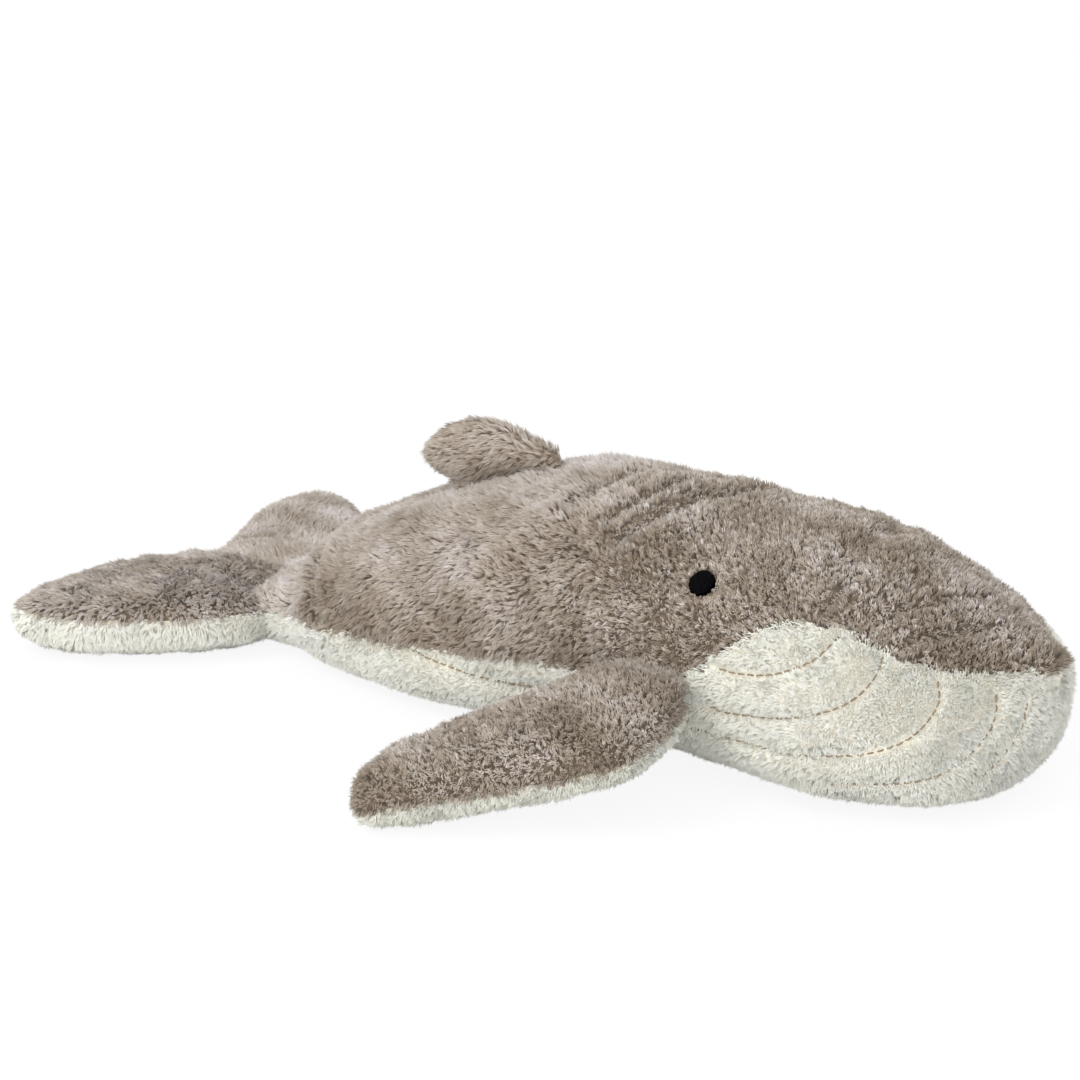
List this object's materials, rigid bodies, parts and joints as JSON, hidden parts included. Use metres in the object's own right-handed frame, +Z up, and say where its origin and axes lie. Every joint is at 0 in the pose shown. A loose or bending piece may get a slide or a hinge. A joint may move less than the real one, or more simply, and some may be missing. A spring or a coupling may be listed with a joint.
{
  "type": "plush whale",
  "caption": "Stuffed plush whale lying on its belly: taupe back, cream belly with stitched throat pleats, and dorsal, pectoral and tail fins that flex at their seams.",
  "frame": {"origin": "on the floor, under the middle of the whale's bounding box", "axes": "+X towards the snout, +Y to the whale's left, +Z up"},
  "size_m": [0.432, 0.3434, 0.1043],
  "materials": {
    "taupe_plush": "matte",
    "cream_plush": "matte",
    "black_thread": "satin",
    "brown_thread": "matte",
    "wadding": "matte"
  },
  "bodies": {
    "body": {"back_panel_left": "taupe_plush", "back_panel_right": "taupe_plush", "belly_panel": "cream_plush", "torso_stuffing": "wadding", "eye_left": "black_thread", "eye_right": "black_thread", "pleat_stitch_left_1": "brown_thread", "pleat_stitch_left_2": "brown_thread", "pleat_stitch_left_3": "brown_thread", "pleat_stitch_left_4": "brown_thread", "pleat_stitch_left_5": "brown_thread", "pleat_stitch_right_1": "brown_thread", "pleat_stitch_right_2": "brown_thread", "pleat_stitch_right_3": "brown_thread", "pleat_stitch_right_4": "brown_thread", "pleat_stitch_right_5": "brown_thread"},
    "tail": {"tail_top": "taupe_plush", "tail_bottom": "cream_plush", "tail_stuffing": "wadding"},
    "dorsal": {"dorsal_left": "taupe_plush", "dorsal_right": "taupe_plush", "dorsal_stuffing": "wadding"},
    "fluke_left": {"fluke_left_top": "taupe_plush", "fluke_left_bottom": "cream_plush", "fluke_left_stuffing": "wadding"},
    "fluke_right": {"fluke_right_top": "taupe_plush", "fluke_right_bottom": "cream_plush", "fluke_right_stuffing": "wadding"},
    "pectoral_left": {"pectoral_left_top": "taupe_plush", "pectoral_left_bottom": "cream_plush", "pectoral_left_stuffing": "wadding"},
    "pectoral_right": {"pectoral_right_top": "taupe_plush", "pectoral_right_bottom": "cream_plush", "pectoral_right_stuffing": "wadding"}
  },
  "joints": [
    {"name": "tail_lift", "type": "hinge", "parent": "body", "child": "tail", "pos_m": [-0.12951, 0, 0.014], "axis": [0, 1, 0], "range_deg": [-15, 35]},
    {"name": "fluke_left_flap", "type": "hinge", "parent": "tail", "child": "fluke_left", "pos_m": [-0.16451, 0.021, 0.014], "axis": [1, 0, 0], "range_deg": [-15, 35]},
    {"name": "fluke_right_flap", "type": "hinge", "parent": "tail", "child": "fluke_right", "pos_m": [-0.16451, -0.021, 0.014], "axis": [-1, 0, 0], "range_deg": [-15, 35]},
    {"name": "pectoral_left_flap", "type": "hinge", "parent": "body", "child": "pectoral_left", "pos_m": [0.08268, 0.0687, 0.03956], "axis": [1, 0, 0], "range_deg": [-8, 45]},
    {"name": "pectoral_right_flap", "type": "hinge", "parent": "body", "child": "pectoral_right", "pos_m": [0.08268, -0.0687, 0.03956], "axis": [-1, 0, 0], "range_deg": [-8, 45]},
    {"name": "dorsal_flop", "type": "hinge", "parent": "body", "child": "dorsal", "pos_m": [-0.02752, 0, 0.08135], "axis": [0.9495, 0, 0.3137], "range_deg": [-30, 30], "stiffness_Nm_per_rad": 0.02}
  ]
}
